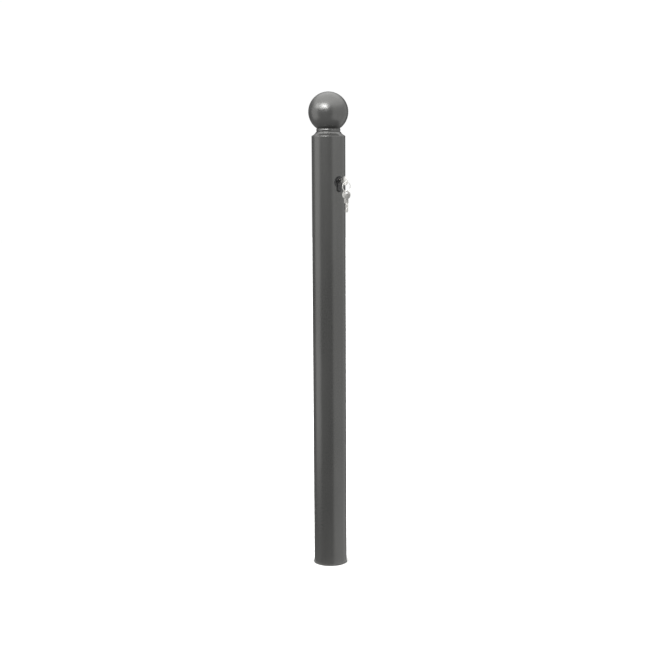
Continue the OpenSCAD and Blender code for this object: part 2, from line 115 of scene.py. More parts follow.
def finish(name, settings, build):
    # settings are the shader's own constants; build(tree, place) gives what varies over the surface
    made = bpy.data.materials.new(name)
    made.use_nodes = True
    tree = made.node_tree
    tree.nodes.clear()
    place = add(tree, "ShaderNodeTexCoord", out=3)  # object coordinates
    varying = build(tree, place)
    bump = varying.pop("bump", None)
    if bump:
        height, strength, distance = bump
        varying["Normal"] = add(tree, "ShaderNodeBump", None,
                                {"Height": height, "Strength": strength, "Distance": distance})
    shader = add(tree, "ShaderNodeBsdfPrincipled", None, {**settings, **varying})
    tree.links.new(shader.socket, tree.nodes.new("ShaderNodeOutputMaterial").inputs["Surface"])
    return made


def noise(place, scale, detail=3.0, stretch=(1, 1, 1)):
    # cloudy noise; stretch under 1 draws it out along that axis
    scaled = add(place.tree, "ShaderNodeMapping", None, {"Vector": place, "Scale": stretch})
    return add(place.tree, "ShaderNodeTexNoise", None,
               {"Vector": scaled, "Scale": scale, "Detail": detail, "Roughness": 0.55})


def along(place, axis):
    # one coordinate of the place: 0 is x, 1 is y, 2 is metres above the paving
    return add(place.tree, "ShaderNodeSeparateXYZ", None, {"Vector": place}, out=axis)


powder = {"grain": 900.0, "waves": 190.0, "dark": (0.086, 0.086, 0.083), "light": (0.106, 0.106, 0.103),
          "dust": (0.17, 0.16, 0.14), "dustHigh": 0.10, "metal": 0.6, "roughness": 0.23}


def powderCoat(tree, place):
    # satin coat: fine grain, slow waves from the spraying, dust low on the post
    grain = noise(place, powder["grain"], 2.0)
    waves = noise(place, powder["waves"], 2.0)
    cloud = noise(place, 9.0, stretch=(1, 1, 0.25))
    low = 1 - along(place, 2).between(0.0, powder["dustHigh"])
    dust = low * noise(place, 160.0, 4.0).between(0.3, 0.9)
    coat = mix(cloud.between(0.3, 0.7), powder["dark"], powder["light"])
    return {"Base Color": mix(dust * 0.12, coat, powder["dust"]),
            "Roughness": powder["roughness"] + cloud * 0.06 + grain * 0.04 + dust * 0.15,
            "bump": (grain * 0.5 + waves * 0.8, 0.35, 0.0001)}


def galvanised(tree, place):
    # hot-dip zinc: spangles as cells of their own grey
    spangle = add(tree, "ShaderNodeTexVoronoi", None, {"Vector": place, "Scale": 85.0}, out=1)
    tone = add(tree, "ShaderNodeRGBToBW", None, {"Color": spangle})
    fine = noise(place, 500.0)
    return {"Base Color": mix(tone, (0.40, 0.42, 0.43), (0.56, 0.58, 0.59)),
            "Roughness": 0.42 + tone * 0.12 + fine * 0.06,
            "bump": (fine, 0.2, 0.0001)}


def turnedSteel(tree, place):
    # rings left by a lathe: noise that depends only on height and distance from the post's axis
    x, y = along(place, 0), along(place, 1)
    reach = (x * x + y * y) ** 0.5
    line = add(tree, "ShaderNodeCombineXYZ", None, {0: reach * 60.0, 1: along(place, 2) * 60.0, 2: 0.3})
    rings = add(tree, "ShaderNodeTexNoise", None, {"Vector": line, "Scale": 60.0, "Detail": 2.0})
    grime = noise(place, 70.0, 4.0).between(0.45, 0.8)
    return {"Base Color": mix(grime, (0.86, 0.86, 0.85), (0.76, 0.76, 0.74)),
            "Roughness": 0.34 + rings * 0.12 + grime * 0.12,
            "bump": (rings, 0.15, 0.0001)}


def zincPlate(tree, place):
    cloud = noise(place, 90.0)
    return {"Base Color": mix(cloud, (0.58, 0.60, 0.62), (0.70, 0.70, 0.68)),
            "Roughness": 0.28 + cloud * 0.14,
            "bump": (noise(place, 1200.0), 0.12, 0.0001)}


def nickelKeys(tree, place):
    # plated and handled: fine scratches across, duller patches
    scratch = noise(place, 900.0, 2.0, (1, 0.12, 0.12)).between(0.55, 0.72)
    patch = noise(place, 130.0, 4.0).between(0.45, 0.8)
    return {"Base Color": mix(patch, (0.83, 0.82, 0.79), (0.70, 0.69, 0.66)),
            "Roughness": 0.27 + patch * 0.14 + scratch * 0.10,
            "bump": (scratch, 0.1, 0.00005)}


def darkNickel(tree, place):
    worn = noise(place, 260.0).between(0.45, 0.72)
    return {"Base Color": mix(worn, (0.055, 0.055, 0.057), (0.12, 0.118, 0.112)),
            "Roughness": 0.30 + worn * 0.15,
            "bump": (noise(place, 1500.0), 0.1, 0.00005)}


def blackPlastic(tree, place):
    grain = noise(place, 1600.0, 2.0)
    return {"Base Color": mix(noise(place, 60.0), (0.010, 0.010, 0.011), (0.020, 0.020, 0.021)),
            "Roughness": 0.42 + grain * 0.16,
            "bump": (grain, 0.3, 0.00008)}


def sealRubber(tree, place):
    bloom = noise(place, 120.0, 4.0).between(0.45, 0.85)
    return {"Base Color": mix(bloom, (0.018, 0.018, 0.018), (0.060, 0.058, 0.055)),
            "Roughness": 0.62 + bloom * 0.2,
            "bump": (noise(place, 1000.0), 0.25, 0.0001)}


def naturalNylon(tree, place):
    cloud = noise(place, 40.0)
    return {"Base Color": mix(cloud, (0.66, 0.63, 0.55), (0.76, 0.73, 0.66)),
            "Roughness": 0.45 + cloud * 0.1,
            "bump": (noise(place, 700.0), 0.1, 0.0001)}


def blackOxide(tree, place):
    rub = noise(place, 400.0).between(0.55, 0.75)
    return {"Base Color": mix(rub, (0.035, 0.035, 0.037), (0.16, 0.16, 0.16)),
            "Roughness": 0.38 + rub * 0.1,
            "bump": (noise(place, 1500.0), 0.1, 0.00005)}


finishes = {
    "painted_steel": finish("powderCoat", {"Metallic": powder["metal"], "IOR": 1.5}, powderCoat),
    "galvanised": finish("galvanisedSteel", {"Metallic": 1.0}, galvanised),
    "stainless": finish("blastedStainless", {"Metallic": 0.4}, turnedSteel),
    "zinc_plate": finish("zincPlate", {"Metallic": 1.0}, zincPlate),
    "zinc_fasteners": finish("zincScrews", {"Metallic": 1.0}, zincPlate),
    "black_screws": finish("blackOxide", {"Metallic": 0.7}, blackOxide),
    "nickel": finish("nickelKeys", {"Metallic": 1.0}, nickelKeys),
    "dark_nickel": finish("darkNickel", {"Metallic": 1.0}, darkNickel),
    "black_plastic": finish("blackPlastic", {"IOR": 1.48}, blackPlastic),
    "black_rubber": finish("sealRubber", {"IOR": 1.5}, sealRubber),
    "polyamide": finish("naturalNylon", {"IOR": 1.53}, naturalNylon),
    "spring_steel": finish("springWire", {"Metallic": 1.0}, zincPlate)}
slotOf = {s["node"]: s["material_slot"] for s in frame["record"]["subparts"]}
bodyOf = {node: body for body, nodes in frame["record"]["behaviour"]["bodies"].items() for node in nodes}
for nodeName, cadPiece in frame["nodes"].items():
    cadPiece.data.materials.clear()
    cadPiece.data.materials.append(finishes[slotOf[nodeName]])
print("finishes ready:", len(finishes))


def skin(name, rows, closeRows=True):
    # a grid of points (rows, columns, 3) becomes quads; each row is a closed loop, and the last row
    # joins the first if closeRows is on
    rows = np.asarray(rows, float)
    n, m = rows.shape[:2]
    i, j = np.meshgrid(np.arange(n if closeRows else n - 1), np.arange(m), indexing="ij")
    nextRow, nextColumn = (i + 1) % n, (j + 1) % m
    quads = np.stack([i * m + j, nextRow * m + j, nextRow * m + nextColumn, i * m + nextColumn], -1)
    mesh = bpy.data.meshes.new(name)
    mesh.from_pydata(rows.reshape(-1, 3), [], quads.reshape(-1, 4))
    return tidy(name, mesh)


def tidy(name, mesh, sharp=35):
    # joins doubled points, turns faces outwards and keeps edges over that many degrees sharp
    work = bmesh.new()
    work.from_mesh(mesh)
    bmesh.ops.remove_doubles(work, verts=work.verts, dist=1e-7)
    bmesh.ops.dissolve_degenerate(work, edges=work.edges, dist=1e-8)
    bmesh.ops.recalc_face_normals(work, faces=work.faces)
    work.to_mesh(mesh)
    work.free()
    mesh.shade_smooth()
    mesh.set_sharp_from_angle(angle=math.radians(sharp))
    made = bpy.data.objects.new(name, mesh)
    bpy.context.scene.collection.objects.link(made)
    return made


def pointed(rows):
    # one more row at each end, all of it in the middle of its neighbour, so that the ends close
    rows = np.asarray(rows, float)
    ends = [np.repeat(rows[i].mean(0)[None], rows.shape[1], 0)[None] for i in (0, -1)]
    return np.concatenate([ends[0], rows, ends[1]])


def smooth(t):  # 0 at 0 and 1 at 1, level at both
    return t * t * (3 - 2 * t)


def fit(piece, node):
    # the piece stands for a CAD node: same body, same slot, same finish
    piece.data.materials.clear()
    piece.data.materials.append(finishes[slotOf[node]])
    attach(piece, bodyOf[node])
    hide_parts(node)
    return piece


def rounded(corners, steps=6):
    # outline of straight lines whose corners (x, y, radius) are arcs: an arc's middle lies on the
    # corner's bisector, radius / sin(half the angle) away, and the arc starts radius / tan(half the
    # angle) before the corner
    points = []
    for k, (x, y, radius) in enumerate(corners):
        here = np.array((x, y))
        if radius == 0:
            points.append([here])
            continue
        a = np.array(corners[k - 1][:2]) - here
        b = np.array(corners[(k + 1) % len(corners)][:2]) - here
        a, b = a / np.linalg.norm(a), b / np.linalg.norm(b)
        half = math.acos(np.clip(a @ b, -1, 1)) / 2
        reach = radius / math.tan(half)
        middle = here + (a + b) / np.linalg.norm(a + b) * radius / math.sin(half)
        start, end = here + a * reach - middle, here + b * reach - middle
        turn = math.atan2(start[0] * end[1] - start[1] * end[0], start @ end)
        angles = np.linspace(0, turn, steps + 1)[:, None]
        arc = middle + np.cos(angles) * start + np.sin(angles) * np.array((-start[1], start[0]))
        lead = reach + 0.35 * radius  # a narrow strip beside each arc keeps the flats' shading flat
        points.append(np.vstack([here + a * lead, arc, here + b * lead]))
    return np.vstack(points)


def spun(name, outline, around):
    # the closed outline (distance from the post's axis, height) carried round that axis
    outline = np.asarray(outline, float)
    angles = np.linspace(0, 2 * math.pi, around, endpoint=False)[:, None]
    reach, height = outline[:, 0][None], outline[:, 1][None]
    return skin(name, np.stack([reach * np.cos(angles), reach * np.sin(angles), height + 0 * angles], -1))


def bar(name, centre, way, radius, length, around=40):
    # a round bar about a point: circles across the way, half the length before and behind, closed flat
    way = Vector(way).normalized()
    side = way.cross(Vector((0, 0, 1)))
    side = side.normalized() if side.length > 0.1 else Vector((1, 0, 0))
    other = way.cross(side)
    angles = np.linspace(0, 2 * math.pi, around, endpoint=False)[:, None]
    rim = np.array(centre) + radius * (np.cos(angles) * np.array(side) + np.sin(angles) * np.array(other))
    lift = np.array(way) * length / 2
    return capEnds(skin(name, [rim - lift, rim + lift], closeRows=False))


def capEnds(piece):
    # a flat face over each open end
    work = bmesh.new()
    work.from_mesh(piece.data)
    bmesh.ops.holes_fill(work, edges=[e for e in work.edges if e.is_boundary])
    bmesh.ops.recalc_face_normals(work, faces=work.faces)
    work.to_mesh(piece.data)
    work.free()
    return piece


def cut(piece, *cutters):
    # takes the cutters' shapes out of the piece, for good
    for cutter in cutters:
        step = piece.modifiers.new("cut", "BOOLEAN")
        step.operation, step.solver, step.object = "DIFFERENCE", "EXACT", cutter
    baked = bpy.data.meshes.new_from_object(piece.evaluated_get(bpy.context.evaluated_depsgraph_get()))
    piece.modifiers.clear()
    piece.data = baked
    for cutter in cutters:
        bpy.data.objects.remove(cutter)
    return piece


# the tube, and the lock opening in it: a round part over a narrower leg, seen along Y
post = {"around": 224, "wall": 3.0 * mm, "rows": 28, "closeUp": 22 * mm, "closeDown": 36 * mm,
        "closeStep": 2 * mm, "boltHole": 6.2 * mm, "housingHole": 5.2 * mm, "cutter": 8 * mm,
        "cutBefore": 5 * mm, "cutBehind": 9 * mm}
screws = {"carrier_screws": {"hole": 4.3 * mm, "head": 4.1 * mm, "sunk": 1.7 * mm, "turned": -12},
          "cylinder_screw": {"hole": 4.8 * mm, "sunk": 1.2 * mm}}
lock = {"sink": 3.0 * mm, "round": 12.0 * mm, "leg": 13.0 * mm, "drop": 25.6 * mm,
        "profileLeg": 10.0 * mm, "edge": 0.35 * mm, "bore": 6.05 * mm, "back": 10 * mm}
lockZ = joints["key_turn"]["pos_m"][2]
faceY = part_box("cylinder_body")[0].y
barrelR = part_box("cylinder_body")[1].x
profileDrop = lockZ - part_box("cylinder_body")[0].z
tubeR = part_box("post_tube")[1].x
boreR = tubeR - post["wall"]


def keyhole(radius, half, sink, low, count=96):
    # half of the points on an arc whose middle is sunk below the lock's axis, a quarter on the half
    # circle at the foot, the others even along the two straight sides; x is across and z is up.
    # Every point keeps its place in the list as the outline grows
    spread = math.asin(half / radius)
    over = np.linspace(-math.pi / 2 + spread, 1.5 * math.pi - spread, count // 2)
    foot = np.linspace(math.pi, 2 * math.pi, count // 4)
    down = np.linspace(0, 1, count // 8 + 2)[1:-1, None]
    top = np.stack([radius * np.cos(over), -sink + radius * np.sin(over)], -1)
    bottom = np.stack([half * np.cos(foot), -low + half + half * np.sin(foot)], -1)
    return np.vstack([top, top[-1] * (1 - down) + bottom[0] * down, bottom,
                      bottom[-1] * (1 - down) + top[0] * down])


def openingOutline(grow):  # the hole in the tube
    return keyhole(lock["round"] + grow, lock["leg"] / 2 + grow, lock["sink"], lock["drop"] + grow)


def profileOutline(grow):  # the half profile cylinder
    return keyhole(barrelR + grow, lock["profileLeg"] / 2 + grow, 0, profileDrop + grow)


def onTube(outline, reach):
    # lays an outline on a cylinder of that radius: y is minus the root of reach² - x²
    x, z = outline[:, 0], outline[:, 1]
    return np.stack([x, -np.sqrt(reach * reach - x * x), lockZ + z], -1)


def upright(outline, y):
    # lays an outline in the plane across Y at that depth
    return np.stack([outline[:, 0], np.full(len(outline), y), lockZ + outline[:, 1]], -1)


def circleLike(outline, radius, y):
    # a circle whose points lie in the directions of the outline's points, seen from the lock's axis
    return upright(outline * radius / np.linalg.norm(outline, axis=1, keepdims=True), y)


def screwCentres():
    # hole radius, centre and direction of each flush screw's head, from the boxes of the screws
    places = []
    size = screws["carrier_screws"]
    low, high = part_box("carrier_screws")
    angle = math.radians(size["turned"])
    way = Vector((math.cos(angle), math.sin(angle), 0))
    for z in (low.z + size["head"], high.z - size["head"]):
        places.append((size["hole"], way * (tubeR - size["sunk"]) + Vector((0, 0, z)), way))
    size = screws["cylinder_screw"]
    low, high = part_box("cylinder_screw")
    centre = Vector((high.x - size["sunk"], (low.y + high.y) / 2, (low.z + high.z) / 2))
    places.append((size["hole"], centre, Vector((1, 0, 0))))
    return places


def makePostTube():
    # a spun wall with closer rows near the lock, then the openings cut through it
    low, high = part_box("post_tube")[0].z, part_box("post_tube")[1].z
    heights = np.unique(np.concatenate([
        np.linspace(low, high, post["rows"]),
        np.arange(lockZ - post["closeDown"], lockZ + post["closeUp"], post["closeStep"]),
        np.array([0.0, low + 1 * mm, high - 0.4 * mm])]))
    outer = np.stack([np.full(len(heights), tubeR), heights], -1)
    inner = np.stack([np.full(len(heights), boreR), heights[::-1]], -1)
    tube = spun("postTube", np.vstack([outer, inner]), post["around"])
    depths = (-tubeR - post["cutBefore"], -boreR + post["cutBehind"])
    opening = [upright(openingOutline(0), y) for y in depths]
    holes = [capEnds(skin("openingCutter", opening, closeRows=False))]
    for radius, centre, way in screwCentres():
        holes.append(bar("screwCutter", centre, way, radius, post["cutter"]))
    boltZ = (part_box("bolt_right")[0].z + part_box("bolt_right")[1].z) / 2
    for way, radius in ((Vector((1, 0, 0)), post["boltHole"]), (Vector((0, 1, 0)), post["housingHole"])):
        for side in (-1, 1):
            centre = Vector((0, 0, boltZ)) + way * side * tubeR
            holes.append(bar("latchCutter", centre, way, radius, post["cutter"]))
    fit(cut(tube, *holes), "post_tube")


makePostTube()
print("post tube made")

# cap, neck and ball, all bored for the stud
head = {"studBore": 8.2 * mm, "mouth": 0.8 * mm, "mouthDeep": 1.0 * mm, "shoulder": 1.4 * mm,
        "ledge": 0.6 * mm, "hollow": 15.0 * mm, "foot": 0.5 * mm, "play": 0.15 * mm,
        "bulge": 1.2 * mm, "ballWall": 3.0 * mm, "ballRows": 56}


def makeCap():
    # a quarter circle for the shoulder, then a hollow arc: its distance from the axis is the middle
    # minus the root of radius² - (rise - height)², and it stops short of standing upright
    low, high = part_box("tube_cap")[0].z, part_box("tube_cap")[1].z
    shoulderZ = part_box("post_tube")[1].z
    roundR, rise, bore = head["shoulder"], head["hollow"], head["studBore"]
    top = shoulderZ + roundR
    reach = tubeR - (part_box("neck_ring")[1].x - head["bulge"]) - head["ledge"]
    hollowR = (reach ** 2 + rise ** 2) / (2 * reach)
    middle = tubeR - reach + hollowR
    bend = np.linspace(0, math.pi / 2, 9)
    shoulder = np.stack([tubeR - roundR + roundR * np.cos(bend), shoulderZ + roundR * np.sin(bend)], -1)
    heights = np.linspace(head["foot"], high - top, 26)
    hollow = np.stack([middle - np.sqrt(hollowR ** 2 - (rise - heights) ** 2), top + heights], -1)
    spigotR = boreR - head["play"]
    rest = np.array([(bore + head["mouth"], high), (bore, high - head["mouthDeep"]),
                     (bore, low + head["foot"]), (spigotR, low), (spigotR, shoulderZ)])
    fit(spun("postCap", np.vstack([shoulder, hollow, rest]), post["around"]), "tube_cap")


def makeNeck():
    # barrel-shaped band: an arc through both ends and a bulge, of radius (half² + bulge²) / (2 bulge)
    low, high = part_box("neck_ring")
    half = (high.z - low.z) / 2
    arcR = (half ** 2 + head["bulge"] ** 2) / (2 * head["bulge"])
    lift = np.linspace(-half, half, 21)
    outer = np.stack([high.x - arcR + np.sqrt(arcR ** 2 - lift ** 2), low.z + half + lift], -1)
    inner = np.array([(head["studBore"], high.z), (head["studBore"], low.z)])
    fit(spun("neckBand", np.vstack([outer, inner]), post["around"]), "neck_ring")


def makeBall():
    # two half shells, spun from arcs of the outer and the inner sphere: distance from the axis is
    # radius sin(angle) and height is radius cos(angle), with the angle taken from the pole
    lowBox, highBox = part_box("ball_lower"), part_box("ball_upper")
    centreZ, outer = lowBox[1].z, highBox[1].z - lowBox[1].z
    inner = outer - head["ballWall"]
    seat = lowBox[0].z - centreZ

    def arc(radius, start, end):
        angles = np.linspace(start, end, head["ballRows"])
        return np.stack([radius * np.sin(angles), centreZ + radius * np.cos(angles)], -1)

    upper = np.vstack([arc(outer, math.pi / 2, 0), arc(inner, 0, math.pi / 2)])
    lower = np.vstack([arc(outer, math.acos(seat / outer), math.pi / 2),
                       arc(inner, math.pi / 2, math.acos(seat / inner))])
    fit(spun("ballTop", upper, post["around"]), "ball_upper")
    fit(spun("ballUnderside", lower, post["around"]), "ball_lower")


makeCap()
makeNeck()
makeBall()
print("cap, neck and ball made")

# lock surround: how far its rim stands out and overlaps the tube, and the gaps that it leaves
bezel = {"overlap": 0.6 * mm, "rise": 0.8 * mm, "clear": 0.3 * mm, "soft": 0.25 * mm, "gap": 0.02 * mm,
         "inside": 0.1 * mm, "behind": 0.05 * mm}
plug = {"slot": 2.7 * mm, "slotHigh": 8.8 * mm, "slotDeep": 22.5 * mm, "corner": 12.0,
        "flange": 0.72 * mm, "round": 0.15 * mm, "core": 6.0 * mm, "tail": 4.0 * mm,
        "tailLong": 8.8 * mm}


def makeBezel():
    # outlines on cylinders of growing and falling radius, in a closed loop: up the rim and over it,
    # across the face, down to the cylinder, back behind the wall and out again
    rise, clear = bezel["rise"], bezel["clear"]
    front, back = tubeR + bezel["gap"], boreR + bezel["behind"]
    softer = profileOutline(clear + bezel["soft"])
    edge = [(0, 0.45), (0.08, 0.78), (0.30, 0.96), (0.55, 1.0)]  # mm in from the rim, share of the rise
    rows = [onTube(openingOutline(bezel["overlap"]), front)]
    rows += [onTube(openingOutline(bezel["overlap"] - far * mm), tubeR + rise * up) for far, up in edge]
    rows += [onTube((openingOutline(0) + softer) / 2, tubeR + rise),
             onTube(softer, tubeR + rise * 0.95),
             onTube(profileOutline(clear + 0.07 * mm), tubeR + rise * 0.7),
             onTube(profileOutline(clear), tubeR + rise * 0.4),
             onTube(profileOutline(clear), back),
             onTube(openingOutline(-bezel["inside"]), back),
             onTube(openingOutline(-bezel["inside"]), front)]
    fit(skin("lockBezel", rows), "escutcheon")


def makeCylinder():
    # the profile's outline from back to front with a small edge round, then circles in the same
    # directions: flat across the face, over the bore's edge and back along the bore
    e, bore = lock["edge"], lock["bore"]
    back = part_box("cylinder_body")[1].y - lock["back"]
    outside = [(0, back), (0, faceY + 2 * e), (0, faceY + e), (-0.3 * e, faceY + 0.3 * e), (-e, faceY),
               (-2 * e, faceY)]
    inside = [(bore + 1.6 * e, faceY), (bore + 0.8 * e, faceY), (bore, faceY + e), (bore, back)]
    rows = [upright(profileOutline(grow), y) for grow, y in outside]
    rows += [circleLike(profileOutline(0), radius, y) for radius, y in inside]
    fit(skin("lockCylinder", rows), "cylinder_body")


def slotOutline(grow, count=96):
    # keyway in even directions: distance (|cos / half|^p + |sin / tall|^p)^(-1/p), an upright slot whose
    # corners get tighter as p grows
    half, tall, power = plug["slot"] / 2 + grow, plug["slotHigh"] / 2 + grow, plug["corner"]
    angles = np.linspace(0, 2 * math.pi, count, endpoint=False)
    c, s = np.cos(angles), np.sin(angles)
    reach = (np.abs(c / half) ** power + np.abs(s / tall) ** power) ** (-1 / power)
    return np.stack([reach * c, reach * s], -1)


def makePlug():
    # circles about the lock's axis from the tail to the flange and over its face, then the keyway's
    # outline in the same directions, down to its floor; both ends close at a point
    low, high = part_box("lock_plug")
    e, face, flangeR = plug["round"], low.y, high.x
    flangeY, stepY = low.y + plug["flange"], high.y - plug["tailLong"]
    turned = [(plug["tail"], high.y), (plug["tail"], stepY), (plug["core"], stepY),
              (plug["core"], flangeY), (flangeR, flangeY), (flangeR, face + e),
              (flangeR - 0.3 * e, face + 0.3 * e), (flangeR - e, face), (flangeR - 3 * e, face)]
    keyway = [(2 * e, face), (e, face), (0.3 * e, face + 0.3 * e), (0, face + e),
              (0, face + plug["slotDeep"])]
    rows = [circleLike(slotOutline(0), radius, y) for radius, y in turned]
    rows += [upright(slotOutline(grow), y) for grow, y in keyway]
    fit(skin("lockPlug", pointed(rows), closeRows=False), "lock_plug")


makeBezel()
makeCylinder()
makePlug()
print("lock made")

# a key stands upright in its own frame: the bow's middle at the origin, the blade down Z, the cuts at +X
keys = {"thick": 2.2 * mm, "bow": 10.0 * mm, "neck": 8.0 * mm, "wider": 1.0 * mm, "blade": 21.5 * mm,
        "height": 8.0 * mm, "hole": 3.0 * mm, "holeUp": 5.0 * mm, "bevel": 0.35 * mm, "sharp": 20}
cuts = {"count": 5, "first": 5.0 * mm, "pitch": 3.2 * mm, "shallow": 1.1 * mm, "step": 0.5 * mm,
        "flat": 0.5 * mm, "slope": 1.15, "tip": 3.4 * mm, "tipIn": 2.6 * mm, "tipThin": 0.35 * mm,
        "grooveStart": 0.8 * mm}
bladeStart = -keys["bow"] - keys["neck"]


def keyHead(name):
    # an arc of the bow's radius that ends at the neck's width, the neck's two corners and the ring
    # hole's circle, filled flat, thickened, with a rounded edge
    bevel = keys["bevel"]
    half = keys["height"] / 2 + keys["wider"] - bevel
    bow, hole = keys["bow"] - bevel, keys["hole"] + bevel
    meet = math.asin(half / bow)
    arc = np.linspace(-math.pi / 2 + meet, 1.5 * math.pi - meet, 72)
    turn = np.linspace(0, 2 * math.pi, 40, endpoint=False)[::-1]
    outline = np.vstack([np.stack([bow * np.cos(arc), bow * np.sin(arc)], -1),
                         [(-half, bladeStart + bevel), (half, bladeStart + bevel)]])
    opening = np.stack([hole * np.cos(turn), keys["holeUp"] + hole * np.sin(turn)], -1)
    flat = bpy.data.curves.new(name, "CURVE")
    flat.dimensions, flat.fill_mode = "2D", "BOTH"
    for points in (outline, opening):
        line = flat.splines.new("POLY")
        line.points.add(len(points) - 1)
        rest = np.tile((0.0, 1.0), (len(points), 1))
        line.points.foreach_set("co", np.hstack([points, rest]).ravel())
        line.use_cyclic_u = True
    flat.extrude = keys["thick"] / 2 - bevel
    flat.bevel_depth, flat.bevel_resolution = bevel, 3
    shape = bpy.data.objects.new(name, flat)
    bpy.context.scene.collection.objects.link(shape)
    mesh = bpy.data.meshes.new_from_object(shape.evaluated_get(bpy.context.evaluated_depsgraph_get()))
    bpy.data.objects.remove(shape)
    mesh.transform(Matrix.Rotation(math.pi / 2, 4, "X"))
    return mesh


def bladeRows():
    # sections down the blade. The upper edge is the lowest of the cuts, each a flat with sloped sides;
    # both edges draw in at the tip. A section goes up one face and down the other, with its depth
    # given as a share of half the thickness, and a groove between 0.22 and 0.58 of the height
    length, top = keys["blade"], keys["height"] / 2
    down = np.linspace(0, length, 130)
    edge = np.full(len(down), top)
    for k in range(cuts["count"]):
        middle = length - cuts["first"] - k * cuts["pitch"]
        floor = top - cuts["shallow"] - cuts["step"] * ((2 * k) % 3)
        side = (np.abs(down - middle) - cuts["flat"]) * cuts["slope"]
        edge = np.minimum(edge, floor + np.maximum(0, side))
    tip = np.clip((down - (length - cuts["tip"])) / cuts["tip"], 0, 1)
    edge = edge - tip * cuts["tipIn"]
    low = -top + tip * cuts["tipIn"]
    halfThick = keys["thick"] / 2 - cuts["tipThin"] * tip ** 2
    across = np.array([0, 0.02, 0.06, 0.20, 0.27, 0.33, 0.47, 0.53, 0.60, 0.80, 0.95, 0.985, 1.0])
    depth = np.array([0.55, 0.85, 1, 1, 0.55, 0.45, 0.45, 0.6, 1, 1, 0.92, 0.55, 0.2])
    up = np.concatenate([across, across[::-1]])[None]
    out = np.concatenate([depth, -depth[::-1]])[None]
    groove = np.clip(down / cuts["grooveStart"] - 1, 0, 1)[:, None]
    shaped = np.where((up > 0.22) & (up < 0.58), np.sign(out) * (1 - (1 - np.abs(out)) * groove), out)
    x = low[:, None] + (edge - low)[:, None] * up
    return np.stack([x, halfThick[:, None] * shaped, bladeStart - down[:, None] + 0 * x], -1)


def makeKey(name, node, place, turn):
    # head and blade in one mesh, turned and moved to the key's place
    work = bmesh.new()
    work.from_mesh(keyHead(name + "Head"))
    blade = skin(name + "Blade", pointed(bladeRows()), closeRows=False)
    work.from_mesh(blade.data)
    bpy.data.objects.remove(blade)
    mesh = bpy.data.meshes.new(name)
    work.to_mesh(mesh)
    work.free()
    mesh.transform(Matrix.Translation(place) @ turn)
    fit(tidy(name, mesh, keys["sharp"]), node)


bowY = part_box("key")[0].y + keys["bow"]
ringY = (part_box("key_ring")[0].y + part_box("key_ring")[1].y) / 2
spareAxis = joints["spare_swing"]["axis"]
spareTwist = math.atan2(spareAxis[1], spareAxis[0]) + math.pi / 2
bowZ = joints["spare_swing"]["pos_m"][2] - keys["holeUp"]
makeKey("keyInLock", "key", Vector((0, bowY, lockZ)),
        Matrix.Rotation(math.pi / 2, 4, "X") @ Matrix.Rotation(math.pi / 2, 4, "Z"))
makeKey("spareKey", "spare_key", Vector((0, ringY, bowZ)), Matrix.Rotation(spareTwist, 4, "Z"))

splitRing = {"start": 0.35 * math.pi, "cross": 1.85 * math.pi, "crossLong": 0.3 * math.pi, "wide": 0.92,
             "thick": 0.47, "square": 0.8}


def makeRing():
    # wire wound twice round a circle across Y; it moves from one coil to the other along a smooth step.
    # The section is (wide cos^p, thick sin^p) with the signs kept, squarish for p under 1
    low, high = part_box("key_ring")
    wire = (high.y - low.y) / 2
    radius = (high.x - low.x) / 2 - wire
    run = np.linspace(0, 4 * math.pi, 300)[:, None]
    side = wire * (smooth(np.clip((run - splitRing["cross"]) / splitRing["crossLong"], 0, 1)) - 0.5)
    section = np.linspace(0, 2 * math.pi, 16, endpoint=False)[None]
    c, s = (np.sign(v) * np.abs(v) ** splitRing["square"] for v in (np.cos(section), np.sin(section)))
    reach = radius + wire * splitRing["wide"] * c
    angle = run + splitRing["start"]
    rows = np.stack([reach * np.cos(angle), ringY + side + wire * splitRing["thick"] * s,
                     (low.z + high.z) / 2 + reach * np.sin(angle)], -1)
    fit(skin("splitRing", pointed(rows), closeRows=False), "key_ring")


makeRing()
print("keys and ring made")

# balance spring inside the post
spring = {"turns": 9.5, "wire": 1.1 * mm, "closed": 0.9, "open": 12 * mm, "steps": 420, "sides": 14}


def makeSpring():
    # round wire along a helix; the rise per turn is one wire at both ends and more, and even, in
    # between, scaled to the spring's length.
    low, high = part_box("rod_spring")
    wire, turns = spring["wire"], spring["turns"]
    turned = np.linspace(0, turns, spring["steps"])
    inside = np.clip(np.minimum(turned, turns - turned) / spring["closed"] - 0.5, 0, 1)
    rise = 2 * wire + spring["open"] * smooth(inside)
    climb = np.concatenate([[0], np.cumsum((rise[1:] + rise[:-1]) / 2)])
    centre = low.z + wire + (high.z - low.z - 2 * wire) * climb / climb[-1]
    angle = 2 * math.pi * turned[:, None]
    section = np.linspace(0, 2 * math.pi, spring["sides"], endpoint=False)[None]
    reach = high.y - wire + wire * np.cos(section)
    rows = np.stack([reach * np.cos(angle), reach * np.sin(angle),
                     centre[:, None] + wire * np.sin(section)], -1)
    piece = fit(skin("balanceSpring", pointed(rows), closeRows=False), "rod_spring")
    length, travel = high.z - low.z, -joints["rod_lift"]["range_m"][0]
    (length - travel) / length
    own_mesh(piece)


makeSpring()
print("spring made")

